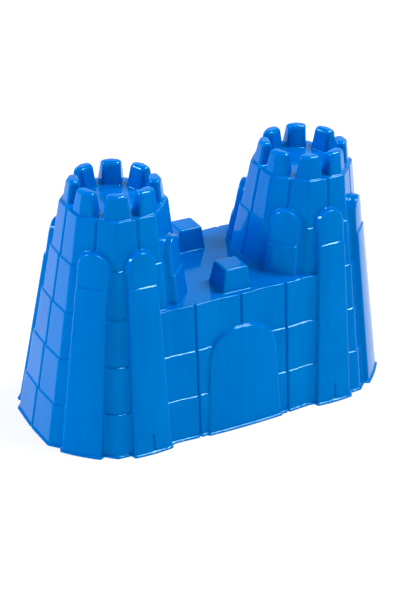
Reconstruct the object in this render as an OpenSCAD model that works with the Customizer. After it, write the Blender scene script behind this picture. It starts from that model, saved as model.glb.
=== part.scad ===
// Castle sand bucket: a thin-walled one-piece moulding that stands on its open mouth.
// Two tapering brick towers are joined by a lower curtain wall. The nodes are the regions
// of the one moulding. They meet face to face and nothing moves.
// Frame: X runs along the wall, Y across it, Z up. The origin is at the middle of the mouth.

/* [Castle] */
// Distance between the axes of the two towers
tower_spacing = 150; // [146:0.5:154]
// Thickness of the moulded wall
wall = 1.8; // [1.4:0.1:2]

/* [Brick courses] */
// Height of the bottom course of bricks
first_course = 32; // [30:0.5:34]
// Height of each course above it
course = 33.8; // [32:0.2:35]
// How far each course steps in from the one below it
ledge = 1.15; // [0.7:0.05:1.4]
// Width of the mortar joints
joint_w = 2.2; // [1.4:0.1:2.6]
// Depth of the mortar joints
joint_d = 0.9; // [0.5:0.1:1]

/* [Towers] */
// Corner radius of a tower at the mouth
tower_r = 67; // [65:0.5:68]
// Lean of the tower walls, in millimetres inward for each millimetre of height
tower_lean = 0.152; // [0.146:0.002:0.156]
// How far the middle of a tower face bulges, as a fraction of the corner radius
bulge = 0.02; // [0.005:0.005:0.025]

/* [Buttresses] */
// Distance from the tower axis to the face of a buttress at the mouth
buttress_r = 67.3; // [66.5:0.1:68]
// Half width of a buttress at the mouth
buttress_foot = 14.2; // [13:0.1:15]
// Half width of a buttress where its round top begins
buttress_half = 10.2; // [9.5:0.1:10.8]
// Height at which the round top of a buttress begins
buttress_spring = 135.6; // [134:0.2:137]
// Height of the shoulder across the face of a buttress
buttress_shoulder = 121.9; // [118:0.1:126]
// Height of the short upright notch at the foot of the front and back buttresses
notch_top = 14.5; // [8:0.5:20]

/* [Curtain wall] */
// Distance from the middle of the castle to the wall face at the mouth
wall_r = 63.9; // [63:0.1:64.5]
// Lean of the curtain wall, in millimetres inward for each millimetre of height
wall_lean = 0.124; // [0.12:0.002:0.128]
// Length of one brick in the curtain wall
brick = 36.4; // [36:0.1:37]
// How far the middle of a wall brick lies behind its ends
brick_dip = 1.4; // [0.6:0.1:1.6]

/* [Gate] */
// Distance from the middle of the castle to the gate face at the mouth
gate_r = 65.8; // [65.4:0.1:66.4]
// Half width of the gate at the mouth
gate_foot = 29.6; // [28.5:0.1:30]
// Half width of the gate where its round top begins
gate_half = 26.6; // [25.5:0.1:27]
// Height at which the round top of the gate begins
gate_spring = 54.5; // [52:0.5:56]
// Height of the round top of the gate itself, which is a little flatter than a half circle
gate_rise = 21.6; // [20:0.2:26]

/* [Merlons] */
// Height of the merlons on the towers
merlon_h = 16; // [14:0.5:18]
// Height of the two merlons on the deck
deck_merlon_h = 17; // [14:0.5:18]

/* [Lip] */
// How far the lip stands out around the mouth
lip_out = 1.2; // [0.8:0.1:1.6]
// Height of the lip
lip_h = 1.6; // [1.2:0.1:2]

/* [Hidden] */

tower_courses = 5;
wall_courses = 3;
deck_z = level(wall_courses);
rim_z = level(tower_courses);
half_spacing = tower_spacing / 2;
// Every hollow starts this far below the mouth, so that it opens cleanly
below = 1;
// Every merlon's hollow starts this far inside the hollow below it, for the same reason
overlap = 0.2;

// Inward lean of the lower and upper face of a buttress, and the step at its shoulder
buttress_lean = 0.159;
shoulder_step = 1.1;
shoulder_h = 0.4;
upper_lean = 0.14;
gate_lean = 0.148;
// How far the middle of a face stands out beyond its edges
buttress_crown = 0.8;
gate_crown = 0.7;
// Width and depth of the notch at the foot of a buttress
notch_w = 1.6;
notch_d = 0.9;
// Edge of a buttress or gate: its chamfer, how deep the flanks run behind the face, which is
// enough to end inside the hollow, and how far they have spread by then
relief_chamfer = 0.9;
relief_depth = 12;
relief_flare = 3.9;
// Steps and last angle of the quarter ellipse at each side of a round top, and the least half
// width that it may come down to
arch_steps = 5;
arch_last = 84;
arch_tip = 1.2;
// How far back and up the foot of an arch lies from its very top
arch_back = 3;
arch_rise = 1.3;

// Tower merlons: distance of the outer corner, outer shoulders and inner corners from the axis
merlon_corner = [34.6, 31.9];
merlon_side = [31.6, 30.2];
merlon_inner = [20.2, 23.6];
merlon_outer_half = [9.8, 7.6];
merlon_inner_half = [6.2, 5.9];
// Chamfer along the top of a merlon, and along the top of the hollow inside it
merlon_chamfer = 1.3;
hollow_chamfer = 0.3;

// Deck merlons: half length along the wall, and the nearer and farther distance across it
deck_merlon_half = [11.2, 9.1];
deck_merlon_near = [22, 24.5];
deck_merlon_far = [43.6, 41.8];

blue = "dodgerblue";

// Height of the top of course k, counted from the mouth
function level(k) = k == 0 ? 0 : first_course + (k - 1) * course;

function mix(pair, t) = pair[0] + (pair[1] - pair[0]) * t;

function turn(p, a) = [p[0] * cos(a) - p[1] * sin(a), p[0] * sin(a) + p[1] * cos(a)];

// [height, inward movement] at the bottom and top of each course. The drop lowers every
// level above the mouth by the wall thickness, which gives the hollow its own ledges.
function courses(n, lean, drop) = [for (k = [0:n - 1], e = [0, 1])
    let (z = k + e == 0 ? (drop > 0 ? -below : 0) : level(k + e) - drop)
    [z, lean * z + ledge * k]];

// Outline of a mortar joint in a face that lies at distance m
function joint(m) = [[m, -joint_w / 2], [m - joint_d, 0], [m, joint_w / 2]];

// Outline of a tower with corner radius r: eight bulged faces with a joint in each middle
function tower_outline(r) = [for (f = [0:7])
    each [for (p = concat([r * [cos(22.5), -sin(22.5)]], joint(r * (cos(22.5) + bulge))))
        turn(p, 45 * f)]];

// Front half of the wall's outline, from left to right: ridges with joints, dips between them.
// Its ends lie inside the towers and lean with the wall.
function wall_side(r) = let (end = half_spacing - (wall_r - r) / 4) concat([[-end, -r]],
    [for (i = [-1:1]) each concat([[(i - 0.5) * brick, brick_dip - r]],
        [for (p = joint(r)) [i * brick + p[1], -p[0]]])],
    [[1.5 * brick, brick_dip - r], [end, -r]]);

function wall_outline(r) = concat(wall_side(r), [for (p = wall_side(r)) -p]);

// Puts a flat outline at height z
function at(outline, z) = [for (p = outline) [p[0], p[1], z]];

// Closed solid through a stack of outlines that all have the same number of points. The two
// ends are filled from a middle point, or straight across between the two halves of an
// outline, which then has to be its own mirror image.
module loft(rings, from_middle = false) {
    n = len(rings[0]);
    top = len(rings) - 1;
    last = n * len(rings);
    side = [for (j = [0:top - 1], i = [0:n - 1])
        let (a = j * n + i, b = j * n + (i + 1) % n)
        each [[a, a + n, b + n], [a, b + n, b]]];
    floor = from_middle
        ? [for (i = [0:n - 1]) [i, (i + 1) % n, last]]
        : [for (i = [0:ceil(n / 2) - 2]) each i + 1 == n - 2 - i
            ? [[i, i + 1, n - 1 - i]]
            : [[i, i + 1, n - 2 - i], [i, n - 2 - i, n - 1 - i]]];
    roof = [for (f = floor) [for (i = [2:-1:0]) f[i] == last ? last + 1 : f[i] + top * n]];
    polyhedron(
        points = concat([for (ring = rings) each ring],
            from_middle ? [[0, 0, rings[0][0][2]], [0, 0, rings[top][0][2]]] : []),
        faces = concat(floor, side, roof)
    );
}

// Outline of an arched relief at one height, with half width w at its face
function relief_ring(face, w, crown, z) =
    let (edge = face - relief_chamfer, root = face - relief_depth, foot = w + relief_flare)
    [[root, -foot, z], [edge, -w - relief_chamfer / 3, z], [face - crown, -w + relief_chamfer, z],
    [face, 0, z], [face - crown, w - relief_chamfer, z], [edge, w + relief_chamfer / 3, z],
    [root, foot, z]];

// Face distance at height z, along the last stretch of a list of [height, face distance]
function face_at(faces, z) = let (n = len(faces) - 1, a = faces[n - 1], b = faces[n])
    mix([a[1], b[1]], (z - a[0]) / (b[0] - a[0]));

// Arched relief that faces +X. The list faces holds [height, face distance] from the mouth up.
module relief(faces, foot, half, spring, rise, crown, inset) {
    r = half - inset;
    straight = [for (f = faces) if (f[0] < spring)
        let (t = max(f[0], 0) / spring)
        relief_ring(f[1] - inset, mix([foot, half], t) - inset, crown * (1 - t / 2), f[0])];
    arch = [for (s = [0:arch_steps])
        let (a = arch_last * s / arch_steps, z = spring + (rise - inset) * sin(a))
        relief_ring(face_at(faces, z) - inset, max(r * cos(a), arch_tip), crown / 2 * cos(a), z)];
    foot_ring = [for (p = arch[arch_steps]) [p[0] - arch_back, p[1], p[2] + arch_rise]];
    loft(concat(straight, arch, [foot_ring]));
}

function buttress_faces(z0) = let (shoulder = buttress_r - buttress_lean * buttress_shoulder)
    [[z0, buttress_r - buttress_lean * z0],
    [buttress_shoulder, shoulder],
    [buttress_shoulder + shoulder_h, shoulder - shoulder_step],
    [rim_z, shoulder - shoulder_step - upper_lean * (rim_z - buttress_shoulder)]];

// A tower's round-topped buttresses, on the front and back faces and the four slanting ones
module buttresses(inset) {
    for (side = [-1, 1], a = [45, 90, 135])
        rotate([0, 0, side * a])
            relief(buttress_faces(inset > 0 ? -below : 0), buttress_foot, buttress_half,
                buttress_spring, buttress_half, buttress_crown, inset);
}

// The notches at the foot of a tower's front and back buttresses, from the lip up
module foot_notches(side) {
    translate([side * half_spacing, 0, 0])
        for (a = [-90, 90])
            rotate([0, 0, a])
                translate([buttress_r - buttress_lean * lip_h - notch_d, -notch_w / 2, lip_h])
                    rotate([0, -atan(buttress_lean), 0])
                        cube([2 * notch_d, notch_w, notch_top - lip_h]);
}

module tower_solid(side, inset) {
    translate([side * half_spacing, 0, 0]) {
        loft([for (c = courses(tower_courses, tower_lean, inset))
            at(tower_outline(tower_r - inset - c[1]), c[0])], from_middle = true);
        buttresses(inset);
    }
}

module gate_solid(inset) {
    z0 = inset > 0 ? -below : 0;
    relief([for (z = [z0, deck_z]) [z, gate_r - gate_lean * z]], gate_foot, gate_half,
        gate_spring, gate_rise, gate_crown, inset);
}

module wall_solid(inset) {
    loft([for (c = courses(wall_courses, wall_lean, inset))
        at(wall_outline(wall_r - inset - c[1]), c[0])]);
    for (a = [-90, 90])
        rotate([0, 0, a])
            gate_solid(inset);
}

// Block that fills everything above height z
module above(z) {
    translate([-tower_spacing, -tower_spacing, z])
        cube([2 * tower_spacing, 2 * tower_spacing, rim_z]);
}

// Block that fills everything in front of the middle at side -1, or behind it at side 1
module half(side) {
    translate([0, side * tower_spacing / 2, 0])
        cube([2 * tower_spacing, tower_spacing, 2 * rim_z], center = true);
}

// [mix from base to top, inward movement, height] at the levels of a merlon of height h that
// stands on height z, or of the hollow inside it
function merlon_levels(z, h, inset) =
    let (chamfer = inset > 0 ? hollow_chamfer : merlon_chamfer, top = z + h - inset)
    [[0, inset, z - (inset > 0 ? wall + overlap : wall / 2)], [1, inset, top - chamfer],
    [1, inset + chamfer, top]];

// One merlon of a tower's crown, on the corner that points along +X
module tower_merlon(inset) {
    loft([for (r = merlon_levels(rim_z, merlon_h, inset))
        let (t = r[0], d = r[1], inner = mix(merlon_inner, t) + d, ih = mix(merlon_inner_half, t) - d,
            shoulder = mix(merlon_side, t) - d, oh = mix(merlon_outer_half, t) - d,
            corner = mix(merlon_corner, t) - d)
        at([[inner, -ih], [shoulder, -oh], [corner, 0], [shoulder, oh], [inner, ih]], r[2])]);
}

module tower_merlons(inset) {
    for (i = [0:7])
        rotate([0, 0, 22.5 + 45 * i])
            tower_merlon(inset);
}

// The plate that closes the top of a tower, with its eight hollow merlons
module crown(side) {
    rim_in = tower_lean * rim_z + ledge * (tower_courses - 1);
    color(blue)
        translate([side * half_spacing, 0, 0])
            difference() {
                union() {
                    loft([for (z = [rim_z - wall, rim_z])
                        at(tower_outline(tower_r - rim_in + tower_lean * (rim_z - z)), z)],
                        from_middle = true);
                    tower_merlons(0);
                }
                tower_merlons(wall);
            }
}

// One of the two merlons on the deck. The front one is at -Y.
module deck_merlon(side, inset) {
    loft([for (r = merlon_levels(deck_z, deck_merlon_h, inset))
        let (t = r[0], d = r[1], h = mix(deck_merlon_half, t) - d,
            near = mix(deck_merlon_near, t) + d, far = mix(deck_merlon_far, t) - d,
            low = side < 0 ? -far : near, high = side < 0 ? -near : far)
        at([[-h, low], [h, low], [h, high], [-h, high]], r[2])]);
}

module tower(side) {
    color(blue)
        difference() {
            tower_solid(side, 0);
            tower_solid(side, wall);
            wall_solid(wall);
            above(rim_z - wall);
            foot_notches(side);
        }
}

module left_tower() {
    tower(-1);
}

module right_tower() {
    tower(1);
}

module left_crown() {
    crown(-1);
}

module right_crown() {
    crown(1);
}

// Half of the curtain wall, below the deck. The front half is at -Y.
module curtain_wall(side) {
    color(blue)
        difference() {
            intersection() {
                wall_solid(0);
                half(side);
            }
            wall_solid(wall);
            tower_solid(-1, 0);
            tower_solid(1, 0);
            above(deck_z - wall);
        }
}

module front_curtain_wall() {
    curtain_wall(-1);
}

module back_curtain_wall() {
    curtain_wall(1);
}

// The floor between the towers, with its two hollow merlons
module wall_deck() {
    color(blue)
        difference() {
            union() {
                intersection() {
                    wall_solid(0);
                    above(deck_z - wall);
                }
                deck_merlon(-1, 0);
                deck_merlon(1, 0);
            }
            deck_merlon(-1, wall);
            deck_merlon(1, wall);
            tower_solid(-1, 0);
            tower_solid(1, 0);
        }
}

// Outline of a buttress or gate at the mouth
module relief_outline(face, foot, crown) {
    polygon([for (p = relief_ring(face, foot, crown, 0)) [p[0], p[1]]]);
}

// Outline of the whole castle at the mouth
module mouth_outline() {
    for (side = [-1, 1])
        translate([side * half_spacing, 0]) {
            polygon(tower_outline(tower_r));
            for (s = [-1, 1], a = [45, 90, 135])
                rotate(s * a)
                    relief_outline(buttress_r, buttress_foot, buttress_crown);
        }
    polygon(wall_outline(wall_r));
    for (a = [-90, 90])
        rotate(a)
            relief_outline(gate_r, gate_foot, gate_crown);
}

// The lip that runs all round the mouth
module mouth_lip() {
    color(blue)
        difference() {
            linear_extrude(lip_h)
                offset(delta = lip_out)
                    mouth_outline();
            tower_solid(-1, 0);
            tower_solid(1, 0);
            wall_solid(0);
        }
}

left_tower();
right_tower();
left_crown();
right_crown();
front_curtain_wall();
back_curtain_wall();
wall_deck();
mouth_lip();
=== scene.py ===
"""Looks of the castle sand bucket: one seamless shell with moulded edges, in glossy blue plastic.

The shell is the zero level of a distance-like function in millimetres. Every region of the
moulding is written once, for the quarter x > 0, y > 0, and mirrored.
"""

import math

import bpy
import numpy as np
from mathutils import Matrix, Vector


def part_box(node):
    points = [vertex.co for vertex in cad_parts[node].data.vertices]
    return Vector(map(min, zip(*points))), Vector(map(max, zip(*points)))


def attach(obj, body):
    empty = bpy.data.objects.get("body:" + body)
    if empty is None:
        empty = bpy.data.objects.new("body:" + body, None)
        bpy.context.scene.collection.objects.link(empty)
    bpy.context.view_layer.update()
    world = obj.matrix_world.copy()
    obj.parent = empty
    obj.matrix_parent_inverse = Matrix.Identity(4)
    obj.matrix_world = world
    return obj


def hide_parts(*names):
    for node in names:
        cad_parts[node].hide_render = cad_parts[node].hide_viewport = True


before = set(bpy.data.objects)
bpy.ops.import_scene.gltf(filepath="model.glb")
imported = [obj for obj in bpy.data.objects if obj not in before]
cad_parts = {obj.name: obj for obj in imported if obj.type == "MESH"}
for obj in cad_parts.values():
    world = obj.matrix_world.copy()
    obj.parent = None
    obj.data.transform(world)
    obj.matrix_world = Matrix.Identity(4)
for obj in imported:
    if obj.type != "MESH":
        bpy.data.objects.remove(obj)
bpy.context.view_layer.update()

MM = 0.001


def box_mm(node):
    """Lowest and highest corner of a CAD node, in millimetres."""
    low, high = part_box(node)
    return np.array(low) / MM, np.array(high) / MM


crown_low, crown_high = box_mm("right_crown")
tower_high = box_mm("right_tower")[1]
deck_low, deck_high = box_mm("wall_deck")
lip_high = box_mm("mouth_lip")[1]

# ---- Sizes of the moulding, mm -------------------------------------------------------------
WALL = 1.8
AXIS_X = (crown_low[0] + crown_high[0]) / 2
RIM_Z = crown_low[2] + WALL
TOP_Z = crown_high[2]
DECK_Z = deck_low[2] + WALL
# Height of a brick course, top of the lowest one, and how far each one steps in
COURSE = (RIM_Z - DECK_Z) / 2
FIRST_COURSE = DECK_Z - 2 * COURSE
LEDGE = 1.15

# The eight corners of a tower lie 22.5 degrees away from the middles of its faces
COS, SIN = math.cos(math.pi / 8), math.sin(math.pi / 8)
DIAGONAL = math.sqrt(0.5)

# Leans are millimetres inward for each millimetre of height, and distances are at the mouth. The
# bulge of a face is a part of the tower's radius, and TOWER_ROUND rounds the edges between faces.
TOWER_COURSES = 5
TOWER_BULGE = 0.02
TOWER_LEAN = 0.152
TOWER_R = (tower_high[0] - AXIS_X) / (COS + TOWER_BULGE)
TOWER_ROUND = 0.7

WALL_COURSES = 3
WALL_R = 63.9
WALL_LEAN = 0.124
# Length of a wall brick, how far its middle lies back, and the rounding there
BRICK = 36.4
BRICK_DIP = 1.4
DIP_ROUND = 1.0

# Half width of a mortar joint, and its depth on the towers and on the wall
JOINT_HALF = 0.85
TOWER_JOINT = 1.3
WALL_JOINT = 1.8

# Distance and lean of a buttress's lower face, height and depth of the step at its shoulder,
# and the lean above it
BUTTRESS_LOWER = (67.3, 0.159)
BUTTRESS_SHOULDER = 121.9
BUTTRESS_STEP = 1.1
BUTTRESS_LEAN = 0.14
# Arched reliefs: half width at the mouth and where the round top begins, the height there, how
# far the middle of the face stands out, how far the round top is flattened, and the draft there
BUTTRESS = {"foot": 14.2, "half": 10.2, "spring": 135.6, "crown": 0.8, "drop": 0, "top_draft": 0.05}

# Distance and lean of the gate's face
GATE_FACE = (65.8, 0.148)
GATE = {"foot": 29.6, "half": 26.6, "spring": 54.5, "crown": 0.7, "drop": 5.0, "top_draft": 0.3}

# Rounding of a relief's edge, how far it runs in behind its face, and the draft of its flanks
RELIEF_ROUND = 1.2
RELIEF_DEPTH = 12.0
RELIEF_DRAFT = 0.27
# Keeps the top of an arch from dividing by zero on its axis
LEAST_REACH = 1.0

# Merlons, each size at the base and at the top. The half width is the one at MERLON_MIDDLE.
MERLON_INNER = (20.2, 23.6)
MERLON_CORNER = (34.6, 31.9)
MERLON_MIDDLE = 26.0
MERLON_HALF = (8.03, 6.52)
MERLON_SPREAD = 0.28
MERLON_FACE = math.radians(17)
MERLON_ROUND = 2.4
MERLON_TOP_ROUND = 2.8

DECK_MERLON_HALF = (11.2, 9.1)
DECK_MERLON_NEAR = (22.0, 24.5)
DECK_MERLON_FAR = (43.6, 41.8)
DECK_MERLON_ROUND = 1.8

# A merlon keeps its slant down to here, as a part of its height, and is straight below
MERLON_FOOT = -0.2

# The lip round the mouth, and the notch at the foot of the front and back buttresses
LIP_H = lip_high[2]
LIP_OUT = lip_high[1] - tower_high[1]
NOTCH = {"half": 0.8, "top": 14.5, "depth": 0.9}

# Rounding of small outer edges, small inner corners, the notch, the lip, and where regions meet
EDGE_ROUND = 0.9
CORNER_ROUND = 0.5
NOTCH_ROUND = 0.3
LIP_ROUND = 0.5
BLEND = 0.8

# ---- Plastic -------------------------------------------------------------------------------
DEEP_BLUE = (0.0, 0.114, 0.49)
CLEAR_BLUE = (0.0, 0.138, 0.54)
PALE_BLUE = (0.0, 0.158, 0.58)
# How much of the pale blue the streaks show
STREAK_SHARE = 0.5
# Gloss, its tint at a straight look, and how rough the clouds make it and the specks add to it
IOR = 1.5
GLOSS = 0.5
GLOSS_TINT = (0.45, 0.85, 1.0)
ROUGH_CLOUDS = (0.08, 0.11)
ROUGH_SPECKS = (0.0, 0.04)
# Stretch along each axis, scale and detail of the noises
CLOUDS = ((1, 1, 1), 22, 3)
STREAKS = ((1, 1, 0.08), 210, 4)
SPECKS = ((1, 1, 1), 1500, 2)
WAVES = ((1, 1, 0.5), 75, 2)
# The middle range of a noise, which is spread over a range of values
NOISE_MIDDLE = (0.3, 0.7)
# Bump depths in metres
WAVE_DEPTH = 0.00007
PEEL_DEPTH = 0.000006
STREAK_DEPTH = 0.00001

# ---- Sampling ------------------------------------------------------------------------------
# Grid step and margin in mm, and the number of triangles that the mesh is thinned to
STEP = 0.56
MARGIN = 3.0
TRIANGLES = 190_000


# ---- The shape -----------------------------------------------------------------------------
def smooth_max(a, b, r):
    """The larger of a and b, with the edge between them rounded over a distance r."""
    h = np.maximum(r - np.abs(a - b), 0)
    return np.maximum(a, b) + h * h / (4 * r)


def smooth_min(a, b, r):
    """The smaller of a and b, with the corner between them filled over a distance r."""
    return -smooth_max(-a, -b, r)


def mix(a, b, t):
    """The value at t on the way from a to b."""
    return a + (b - a) * t


def joint_groove(t, depth):
    """Depth of a mortar joint at distance t from its middle."""
    return depth * np.exp(-((t / JOINT_HALF) ** 2))


def stack(side, z, courses, step, lean, inset):
    """Leaning courses of bricks, each stepping in above the one below it."""
    tilt = 1 / math.hypot(1, lean)
    body = None
    for k in range(courses):
        top = FIRST_COURSE + k * COURSE - inset
        course = smooth_max((side + k * step) * tilt, z - top, EDGE_ROUND)
        body = course if body is None else smooth_min(body, course, CORNER_ROUND)
    return body


def tower(w, y, z, inset):
    """One octagonal tower. w and y are the distances from its axis along x and y."""
    a, b = np.maximum(w, y), np.minimum(w, y)
    r = TOWER_R - inset - TOWER_LEAN * z
    faces = []
    for out, across in ((a, b), ((a + b) * DIAGONAL, (a - b) * DIAGONAL)):
        q = np.minimum(across / (r * SIN), 1)
        face = r * (COS + TOWER_BULGE * (1 - q))
        faces.append(out - face + joint_groove(across, TOWER_JOINT))
    side = smooth_max(*faces, TOWER_ROUND)
    return stack(side, z, TOWER_COURSES, LEDGE * COS, TOWER_LEAN, inset)


def curtain_wall(x, y, z, inset):
    """The wall between the towers: a ridge with a joint at each brick's end, a dip between."""
    joint = np.abs(x - BRICK * np.round(x / BRICK))
    from_dip = np.hypot(BRICK / 2 - joint, DIP_ROUND)
    face = WALL_R - inset - WALL_LEAN * z - BRICK_DIP * (1 - from_dip / (BRICK / 2))
    side = y - face + joint_groove(joint, WALL_JOINT)
    body = stack(side, z, WALL_COURSES, LEDGE, WALL_LEAN, inset)
    return np.maximum(body, x - AXIS_X)


def arch(face, across, z, shape, inset):
    """Round-topped relief. face is the distance out from its flat face."""
    half = mix(shape["foot"], shape["half"], np.clip(z / shape["spring"], 0, 1)) - inset
    rise = np.maximum(z - shape["spring"], 0)
    reach = np.hypot(across, rise)
    upward = rise / np.maximum(reach, LEAST_REACH)
    edge = reach - half + shape["drop"] * upward**2
    face = face + shape["crown"] * np.minimum(across / half, 1) ** 2
    draft = mix(RELIEF_DRAFT, shape["top_draft"], upward**2)
    flank = (edge + draft * face) / np.hypot(1, draft)
    return np.maximum(smooth_max(flank, face, RELIEF_ROUND), -face - RELIEF_DEPTH)


def buttress_face(out, z, inset):
    """Distance out from a buttress's face, which steps back at its shoulder."""
    start, lean = BUTTRESS_LOWER
    lower = out - (start - inset - lean * z)
    above = z - BUTTRESS_SHOULDER
    upper = out - (start - inset - lean * BUTTRESS_SHOULDER - BUTTRESS_STEP - BUTTRESS_LEAN * above)
    return smooth_min(smooth_max(lower, above + inset, EDGE_ROUND), upper, CORNER_ROUND)


def tower_merlons(w, y, z, inset):
    """The ring of merlons on a tower, one on each corner."""
    a, b = np.maximum(w, y), np.minimum(w, y)
    out, across = a * COS + b * SIN, np.abs(b * COS - a * SIN)
    h = np.maximum((z - RIM_Z) / (TOP_Z - RIM_Z), MERLON_FOOT)
    inner = mix(*MERLON_INNER, h) - out
    outer = (out - mix(*MERLON_CORNER, h)) * math.cos(MERLON_FACE) + across * math.sin(MERLON_FACE)
    side = across - mix(*MERLON_HALF, h) - MERLON_SPREAD * (out - MERLON_MIDDLE)
    side = side / math.hypot(1, MERLON_SPREAD)
    body = smooth_max(smooth_max(inner, outer, MERLON_ROUND), side, MERLON_ROUND)
    return smooth_max(body + inset, z - TOP_Z + inset, MERLON_TOP_ROUND)


def deck_merlons(x, y, z, inset):
    """The front and back merlon on the deck."""
    h = np.maximum((z - DECK_Z) / (deck_high[2] - DECK_Z), MERLON_FOOT)
    along = x - mix(*DECK_MERLON_HALF, h)
    across = np.maximum(mix(*DECK_MERLON_NEAR, h) - y, y - mix(*DECK_MERLON_FAR, h))
    body = smooth_max(along, across, DECK_MERLON_ROUND)
    return smooth_max(body + inset, z - deck_high[2] + inset, DECK_MERLON_ROUND)


def foot_notch(out, across, z):
    """Short upright notch at the foot of the front and back buttresses, above the lip."""
    start, lean = BUTTRESS_LOWER
    floor = start - lean * z - NOTCH["depth"] - out
    body = smooth_max(np.maximum(across - NOTCH["half"], floor), z - NOTCH["top"], CORNER_ROUND)
    return np.maximum(body, LIP_H + CORNER_ROUND - z)


def castle(x, y, z, inset=0.0):
    """The castle as a solid, or with an inset the hollow inside it, for x and y above 0."""
    w = np.abs(x - AXIS_X)
    solid = tower(w, y, z, inset)
    for out, across in (((w + y) * DIAGONAL, np.abs(w - y) * DIAGONAL), (y, w)):
        relief = arch(buttress_face(out, z, inset), across, z, BUTTRESS, inset)
        solid = smooth_min(solid, relief, BLEND)
    solid = smooth_min(solid, curtain_wall(x, y, z, inset), BLEND)
    start, lean = GATE_FACE
    gate = arch(y - (start - inset - lean * z), x, z, GATE, inset)
    solid = smooth_min(solid, gate, BLEND)
    solid = smooth_min(solid, tower_merlons(w, y, z, inset), BLEND)
    return smooth_min(solid, deck_merlons(x, y, z, inset), BLEND)


def shell(x, y, z):
    """The moulded shell: below zero in the plastic, above zero in the air."""
    x, y = np.abs(x), np.abs(y)
    outside = castle(x, y, z)
    lip = smooth_max(outside - LIP_OUT, z - LIP_H, LIP_ROUND)
    skin = smooth_min(outside, lip, CORNER_ROUND)
    skin = smooth_max(skin, -foot_notch(y, np.abs(x - AXIS_X), z), NOTCH_ROUND)
    skin = smooth_max(skin, -castle(x, y, z, WALL), EDGE_ROUND)
    return smooth_max(skin, -z, CORNER_ROUND)


# ---- From the shape to a mesh --------------------------------------------------------------
def settle(points, rounds):
    """Moves points onto the surface along its slope."""
    nudge, least_slope = 0.02, 0.5
    for _ in range(rounds):
        x, y, z = points.T
        value = shell(x, y, z)
        slope = np.stack([shell(x + nudge, y, z), shell(x, y + nudge, z), shell(x, y, z + nudge)], 1)
        slope = (slope - value[:, None]) / nudge
        length = np.maximum((slope**2).sum(1), least_slope**2)
        move = slope * (value / length)[:, None]
        points = points - np.clip(move, -STEP / 2, STEP / 2)
    return points


def corner_slices(shape, corner):
    """The samples at one corner of every cell of a grid."""
    return tuple(slice(c, n - 1 + c) for c, n in zip(corner, shape))


def sampled():
    """Axes of a grid over the quarter, and the shell's value at every grid point."""
    reach = lip_high + MARGIN
    axes = [np.arange(-STEP / 2, reach[i], STEP, dtype=np.float32) for i in range(2)]
    axes.append(np.arange(-MARGIN, TOP_Z + MARGIN, STEP, dtype=np.float32))
    values = np.empty([len(a) for a in axes], np.float32)
    for i, x in enumerate(axes[0]):
        values[i] = shell(x, axes[1][:, None], axes[2][None, :])
    return axes, values


def crossed_cells(axes, values):
    """The grid cells that the surface crosses, and one surface point in each of them."""
    inside = values < 0
    corners = [(i, j, k) for i in (0, 1) for j in (0, 1) for k in (0, 1)]
    count = sum(inside[corner_slices(values.shape, c)].astype(np.uint8) for c in corners)
    cells = np.argwhere((count > 0) & (count < len(corners)))
    at_corner = {c: values[tuple((cells + c).T)] for c in corners}
    total, crossings = np.zeros((len(cells), 3)), np.zeros(len(cells))
    for c in corners:
        for axis in range(3):
            if c[axis]:
                continue
            end = tuple(v + (n == axis) for n, v in enumerate(c))
            a, b = at_corner[c], at_corner[end]
            cut = (a < 0) != (b < 0)
            place = np.tile(np.array(c, float), (len(cells), 1))
            place[:, axis] += np.where(cut, a / np.where(cut, a - b, 1), 0)
            total[cut] += place[cut]
            crossings[cut] += 1
    origin = np.array([a[0] for a in axes])
    return cells, origin + (cells + total / crossings[:, None]) * STEP


def quads_between(values, cells):
    """Quads between the points of neighbouring cells, facing out of the plastic."""
    inside = values < 0
    number = np.full([n - 1 for n in values.shape], -1, np.int32)
    number[tuple(cells.T)] = np.arange(len(cells))
    quads = []
    for axis in range(3):
        low = [slice(None)] * 3
        high = [slice(None)] * 3
        low[axis], high[axis] = slice(0, -1), slice(1, None)
        edge = np.argwhere(inside[tuple(low)] != inside[tuple(high)])
        side, other = (axis + 1) % 3, (axis + 2) % 3
        keep = (edge[:, side] > 0) & (edge[:, other] > 0)
        keep &= (edge[:, side] < values.shape[side] - 1) & (edge[:, other] < values.shape[other] - 1)
        edge = edge[keep]
        ring = []
        for back_side, back_other in ((1, 1), (0, 1), (0, 0), (1, 0)):
            cell = edge.copy()
            cell[:, side] -= back_side
            cell[:, other] -= back_other
            ring.append(number[tuple(cell.T)])
        ring = np.stack(ring, 1)
        outward = inside[tuple(edge.T)]
        quads.append(np.where(outward[:, None], ring, ring[:, ::-1]))
    return np.concatenate(quads)


def quarter_surface():
    """Surface points and quads of the quarter, and which points lie on the mirror planes."""
    axes, values = sampled()
    cells, points = crossed_cells(axes, values)
    return points, quads_between(values, cells), cells[:, :2] == 0


def mirrored(points, quads, on_plane, axis):
    """Adds the mirror image across one plane, sharing the points that lie on the plane."""
    fresh = ~on_plane[:, axis]
    twin = np.where(fresh, len(points) + np.cumsum(fresh) - 1, np.arange(len(points)))
    sign = np.ones(3)
    sign[axis] = -1
    points = np.concatenate([points, points[fresh] * sign])
    quads = np.concatenate([quads, twin[quads][:, ::-1]])
    return points, quads, np.concatenate([on_plane, on_plane[fresh]])


def mesh_from(name, points, faces):
    """Blender mesh in metres from points in millimetres and faces of equal size."""
    mesh = bpy.data.meshes.new(name)
    sides = faces.shape[1]
    mesh.vertices.add(len(points))
    mesh.vertices.foreach_set("co", (points * MM).astype(np.float32).ravel())
    mesh.loops.add(faces.size)
    mesh.loops.foreach_set("vertex_index", faces.astype(np.int32).ravel())
    mesh.polygons.add(len(faces))
    mesh.polygons.foreach_set("loop_start", np.arange(0, faces.size, sides, dtype=np.int32))
    mesh.update(calc_edges=True)
    mesh.validate()
    return mesh


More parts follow.
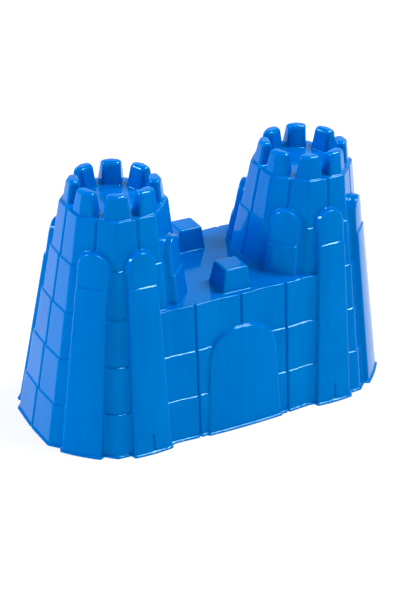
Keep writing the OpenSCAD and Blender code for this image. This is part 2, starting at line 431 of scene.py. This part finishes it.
def read_points(mesh):
    """A mesh's points in millimetres."""
    points = np.empty(len(mesh.vertices) * 3, np.float32)
    mesh.vertices.foreach_get("co", points)
    return points.reshape(-1, 3).astype(float) / MM


def thinned(obj, triangles):
    """Merges faces where the surface is flat, down to a number of triangles."""
    obj.data.calc_loop_triangles()
    have = len(obj.data.loop_triangles)
    if have <= triangles:
        return
    thin = obj.modifiers.new("thin", "DECIMATE")
    thin.ratio = triangles / have
    shape = bpy.data.meshes.new_from_object(obj.evaluated_get(bpy.context.evaluated_depsgraph_get()))
    obj.modifiers.clear()
    obj.data = shape


def set_normals(mesh):
    """Smooth normals in which large faces count for more, so that flat areas stay flat."""
    mesh.calc_loop_triangles()
    corners = np.empty(len(mesh.loop_triangles) * 3, np.int32)
    mesh.loop_triangles.foreach_get("vertices", corners)
    corners = corners.reshape(-1, 3)
    points = read_points(mesh)
    a, b, c = (points[corners[:, i]] for i in range(3))
    weighted = np.cross(b - a, c - a)
    normals = np.zeros_like(points)
    for i in range(3):
        np.add.at(normals, corners[:, i], weighted)
    shortest = 1e-12
    normals /= np.maximum(np.linalg.norm(normals, axis=1), shortest)[:, None]
    mesh.polygons.foreach_set("use_smooth", np.ones(len(mesh.polygons), bool))
    mesh.normals_split_custom_set_from_vertices(normals.astype(np.float32))


def make_shell():
    """The whole moulding as one closed mesh."""
    points, quads, on_plane = quarter_surface()
    points = settle(points, 2)
    points[on_plane[:, 0], 0] = 0
    points[on_plane[:, 1], 1] = 0
    for axis in (0, 1):
        points, quads, on_plane = mirrored(points, quads, on_plane, axis)
    obj = bpy.data.objects.new("castle_shell", mesh_from("castle_shell", points, quads))
    bpy.context.scene.collection.objects.link(obj)
    thinned(obj, TRIANGLES)
    mesh = obj.data
    points = settle(read_points(mesh), 1)
    mesh.vertices.foreach_set("co", (points * MM).astype(np.float32).ravel())
    mesh.update()
    set_normals(mesh)
    return obj


# ---- Material ------------------------------------------------------------------------------
def noise(nodes, links, place, stretch, scale, detail):
    """Noise over the object's own coordinates in metres, stretched along each axis."""
    mapping = nodes.new("ShaderNodeMapping")
    mapping.inputs["Scale"].default_value = stretch
    links.new(place, mapping.inputs["Vector"])
    texture = nodes.new("ShaderNodeTexNoise")
    texture.inputs["Scale"].default_value = scale
    texture.inputs["Detail"].default_value = detail
    links.new(mapping.outputs["Vector"], texture.inputs["Vector"])
    return texture.outputs["Fac"]


def spread(nodes, links, value, low, high):
    """Maps the middle range of a noise to a range of values."""
    node = nodes.new("ShaderNodeMapRange")
    node.inputs["From Min"].default_value, node.inputs["From Max"].default_value = NOISE_MIDDLE
    node.inputs["To Min"].default_value = low
    node.inputs["To Max"].default_value = high
    links.new(value, node.inputs["Value"])
    return node.outputs["Result"]


def blended(nodes, links, amount, first, second):
    """Mixes two colours, or a node's colour with another one."""
    node = nodes.new("ShaderNodeMix")
    node.data_type = "RGBA"
    links.new(amount, node.inputs["Factor"])
    for name, colour in (("A", first), ("B", second)):
        socket = next(i for i in node.inputs if i.name == name and i.type == "RGBA")
        if isinstance(colour, tuple):
            socket.default_value = (*colour, 1)
        else:
            links.new(colour, socket)
    return next(o for o in node.outputs if o.type == "RGBA")


def bumped(nodes, links, height, depth, below=None):
    """Bump of a given depth in metres, on top of an earlier one."""
    node = nodes.new("ShaderNodeBump")
    node.inputs["Strength"].default_value = 1.0
    node.inputs["Distance"].default_value = depth
    links.new(height, node.inputs["Height"])
    if below is not None:
        links.new(below, node.inputs["Normal"])
    return node.outputs["Normal"]


def plastic():
    """Glossy blue polypropylene with faint flow marks, waviness and an orange-peel skin."""
    mat = bpy.data.materials.new("blue_plastic")
    mat.use_nodes = True
    nodes, links = mat.node_tree.nodes, mat.node_tree.links
    shader = nodes["Principled BSDF"]
    place = nodes.new("ShaderNodeTexCoord").outputs["Object"]

    clouds = noise(nodes, links, place, *CLOUDS)
    streaks = noise(nodes, links, place, *STREAKS)
    specks = noise(nodes, links, place, *SPECKS)
    colour = blended(nodes, links, spread(nodes, links, clouds, 0, 1), DEEP_BLUE, CLEAR_BLUE)
    paler = spread(nodes, links, streaks, 0, STREAK_SHARE)
    colour = blended(nodes, links, paler, colour, PALE_BLUE)
    links.new(colour, shader.inputs["Base Color"])

    rough = nodes.new("ShaderNodeMath")
    rough.operation = "ADD"
    links.new(spread(nodes, links, clouds, *ROUGH_CLOUDS), rough.inputs[0])
    links.new(spread(nodes, links, specks, *ROUGH_SPECKS), rough.inputs[1])
    links.new(rough.outputs["Value"], shader.inputs["Roughness"])

    waves = noise(nodes, links, place, *WAVES)
    normal = bumped(nodes, links, waves, WAVE_DEPTH)
    normal = bumped(nodes, links, specks, PEEL_DEPTH, normal)
    normal = bumped(nodes, links, streaks, STREAK_DEPTH, normal)
    links.new(normal, shader.inputs["Normal"])

    shader.inputs["IOR"].default_value = IOR
    shader.inputs["Specular IOR Level"].default_value = GLOSS
    shader.inputs["Specular Tint"].default_value = (*GLOSS_TINT, 1)
    return mat


# ---- Camera, floor and light ---------------------------------------------------------------
# Focal length for a picture of this width and height, angles in degrees, the rest in mm
FRAME_PX = (401, 601)
FOCAL_PX = 1584.9
CAMERA_AZIMUTH = 30.237
CAMERA_ELEVATION = 29.641
CAMERA_ROLL = 2.313
CAMERA_DISTANCE = 1146.5
CAMERA_TARGET = (-5.14, -2.04, 71.60)
SENSOR = 36.0

# Side of the floor in metres, its colour, and how brightly it glows by itself
FLOOR_SIZE = 6.0
FLOOR_COLOUR = (0.3, 0.3, 0.3)
FLOOR_GLOW = 0.72
FLOOR_ROUGHNESS = 0.9
FLOOR_GLOSS = 0.1
# Brightness of the surround at the horizon and overhead
SURROUND = (0.85, 0.2)
# Heights, as the upward part of a direction, between which it fades from one to the other
SURROUND_FADE = (0.45, 0.9)
# The plastic is a deeper blue than a display can show, so its last trace of red is cut off
RED_CUT = 0.035
# Place, width and length in metres, power in watts and colour of each light
LIGHTS = {
    "edge_light": ((0.62, -0.2, 1.3), 0.45, 0.75, 17, (1, 1, 1)),
    "glint_light": ((0.62, -0.2, 1.31), 0.45, 0.75, 9, (1, 1, 1)),
    "left_light": ((-1.3, 0.55, 1.05), 0.5, 0.5, 20, (0.76, 0.82, 1)),
}
# Lights that show in reflections only, and the point that all the lights face
ONLY_GLOSS = {"glint_light"}
LIGHT_TARGET = (0, 0, 0.08)


def make_camera():
    """The viewing angle of the picture, as position, lens and a slight roll."""
    az, el, roll = (math.radians(v) for v in (CAMERA_AZIMUTH, CAMERA_ELEVATION, CAMERA_ROLL))
    back = Vector((-math.sin(az) * math.cos(el), -math.cos(az) * math.cos(el), math.sin(el)))
    right = Vector((math.cos(az), -math.sin(az), 0))
    up = back.cross(right)
    turned_right = math.cos(roll) * right + math.sin(roll) * up
    turned_up = math.cos(roll) * up - math.sin(roll) * right
    data = bpy.data.cameras.new("camera")
    data.sensor_width = SENSOR
    data.lens = FOCAL_PX / max(FRAME_PX) * SENSOR
    cam = bpy.data.objects.new("camera", data)
    place = (Vector(CAMERA_TARGET) + CAMERA_DISTANCE * back) * MM
    turn = Matrix((turned_right, turned_up, back)).transposed().to_4x4()
    cam.matrix_world = Matrix.Translation(place) @ turn
    bpy.context.scene.collection.objects.link(cam)
    bpy.context.scene.camera = cam


def soft_light(name, place, width, length, power, colour):
    """Soft box that faces the castle, with its place and size in metres."""
    data = bpy.data.lights.new(name, "AREA")
    data.shape = "RECTANGLE"
    data.size, data.size_y = width, length
    data.energy = power
    data.color = colour
    lamp = bpy.data.objects.new(name, data)
    lamp.location = place
    aim = Vector(LIGHT_TARGET) - Vector(place)
    lamp.rotation_euler = aim.to_track_quat("-Z", "Y").to_euler()
    lamp.visible_diffuse = name not in ONLY_GLOSS
    bpy.context.scene.collection.objects.link(lamp)


def pale_floor():
    """Large plain floor at the height of the mouth."""
    half = FLOOR_SIZE / 2
    corners = [(-half, -half, 0), (half, -half, 0), (half, half, 0), (-half, half, 0)]
    mesh = bpy.data.meshes.new("floor")
    mesh.from_pydata(corners, [], [(0, 1, 2, 3)])
    mat = bpy.data.materials.new("floor")
    mat.use_nodes = True
    shader = mat.node_tree.nodes["Principled BSDF"]
    shader.inputs["Base Color"].default_value = (*FLOOR_COLOUR, 1)
    shader.inputs["Roughness"].default_value = FLOOR_ROUGHNESS
    shader.inputs["Specular IOR Level"].default_value = FLOOR_GLOSS
    shader.inputs["Emission Color"].default_value = (1, 1, 1, 1)
    shader.inputs["Emission Strength"].default_value = FLOOR_GLOW
    mesh.materials.append(mat)
    floor = bpy.data.objects.new("floor", mesh)
    bpy.context.scene.collection.objects.link(floor)
    return floor


def make_stage():
    """Pale floor, a surround that is bright at the horizon and darker overhead, and the lights."""
    pale_floor()
    world = bpy.data.worlds.new("studio")
    world.use_nodes = True
    nodes, links = world.node_tree.nodes, world.node_tree.links
    height = nodes.new("ShaderNodeSeparateXYZ")
    links.new(nodes.new("ShaderNodeTexCoord").outputs["Generated"], height.inputs["Vector"])
    fade = nodes.new("ShaderNodeMapRange")
    fade.interpolation_type = "SMOOTHSTEP"
    fade.inputs["From Min"].default_value, fade.inputs["From Max"].default_value = SURROUND_FADE
    fade.inputs["To Min"].default_value, fade.inputs["To Max"].default_value = SURROUND
    links.new(height.outputs["Z"], fade.inputs["Value"])
    links.new(fade.outputs["Result"], nodes["Background"].inputs["Strength"])
    nodes["Background"].inputs["Color"].default_value = (1, 1, 1, 1)
    bpy.context.scene.world = world
    display = bpy.context.scene.view_settings
    display.view_transform = "Standard"
    display.use_curve_mapping = True
    display.curve_mapping.black_level = (RED_CUT, 0, 0)
    display.curve_mapping.update()
    for name, light in LIGHTS.items():
        soft_light(name, *light)


make_camera()
make_stage()
body = make_shell()
body.data.materials.append(plastic())
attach(body, "root")
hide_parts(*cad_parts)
